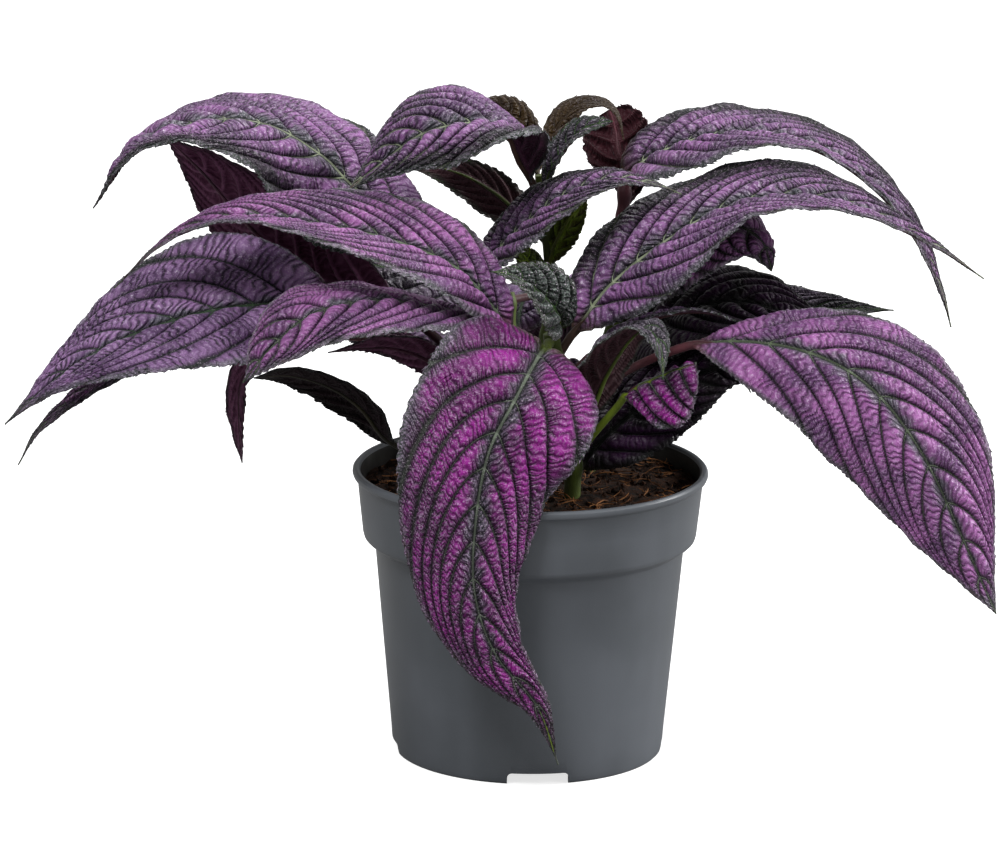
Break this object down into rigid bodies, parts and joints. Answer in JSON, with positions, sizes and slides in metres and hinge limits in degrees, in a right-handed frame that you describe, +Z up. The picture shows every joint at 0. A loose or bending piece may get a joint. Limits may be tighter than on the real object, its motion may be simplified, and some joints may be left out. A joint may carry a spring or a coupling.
{
  "type": "potted persian shield",
  "caption": "Leafy house plant with arching, pointed, ribbed purple leaves on short stems, in a round plastic grow pot filled with soil.",
  "frame": {"origin": "middle of the pot's foot, on the surface that the pot stands on", "axes": "+Z up, -Y towards the front, where one leaf hangs down before the pot, and +X to the right along the plant's widest reach"},
  "size_m": [0.3307, 0.1997, 0.2277],
  "materials": {
    "pot": "moulded, slightly glossy grey",
    "growing_medium": "rough brown coir and peat",
    "stem": "green-brown, finely hairy",
    "leaf_mauve": "puckered, mauve with a silver bloom and dark veins",
    "leaf_vivid": "puckered, vivid purple with a silver bloom and dark veins",
    "leaf_maroon": "matt dark maroon with raised ribs",
    "leaf_young": "soft, finely hairy brown"
  },
  "bodies": {
    "root": {"pot": "pot", "growing_medium": "growing_medium", "stem_front": "stem", "stem_centre": "stem", "stem_left": "stem", "stem_right": "stem", "stem_back": "stem", "leaf_front_hanging": "leaf_vivid", "leaf_centre_hairy": "leaf_vivid", "leaf_left_long": "leaf_mauve", "leaf_right_upper": "leaf_mauve", "leaf_left_middle": "leaf_mauve", "leaf_right_edge": "leaf_mauve", "leaf_right_arching": "leaf_mauve", "leaf_centre_folded": "leaf_vivid", "leaf_right_short": "leaf_vivid", "leaf_left_shaded": "leaf_maroon", "leaf_right_low": "leaf_mauve", "leaf_centre_top": "leaf_mauve", "leaf_young_back": "leaf_young", "leaf_young_right": "leaf_young", "leaf_young_front": "leaf_young", "leaf_centre_left": "leaf_mauve", "leaf_centre_right": "leaf_young", "leaf_centre_bud": "leaf_young", "leaf_left_top": "leaf_mauve", "leaf_centre_crossing": "leaf_mauve", "leaf_left_maroon": "leaf_maroon", "leaf_left_low": "leaf_mauve", "leaf_left_under": "leaf_maroon", "leaf_left_curled": "leaf_maroon", "leaf_right_top": "leaf_mauve", "leaf_maroon_back": "leaf_maroon", "leaf_right_behind": "leaf_mauve", "leaf_right_grey": "leaf_mauve", "leaf_right_shaded": "leaf_mauve", "leaf_back_right": "leaf_mauve", "leaf_left_tip_down": "leaf_maroon", "leaf_back_left_high": "leaf_mauve", "leaf_back_right_high": "leaf_mauve", "leaf_back_middle": "leaf_mauve", "leaf_back_left": "leaf_mauve", "leaf_back_low_left": "leaf_mauve", "leaf_back_low_right": "leaf_mauve"}
  },
  "joints": []
}
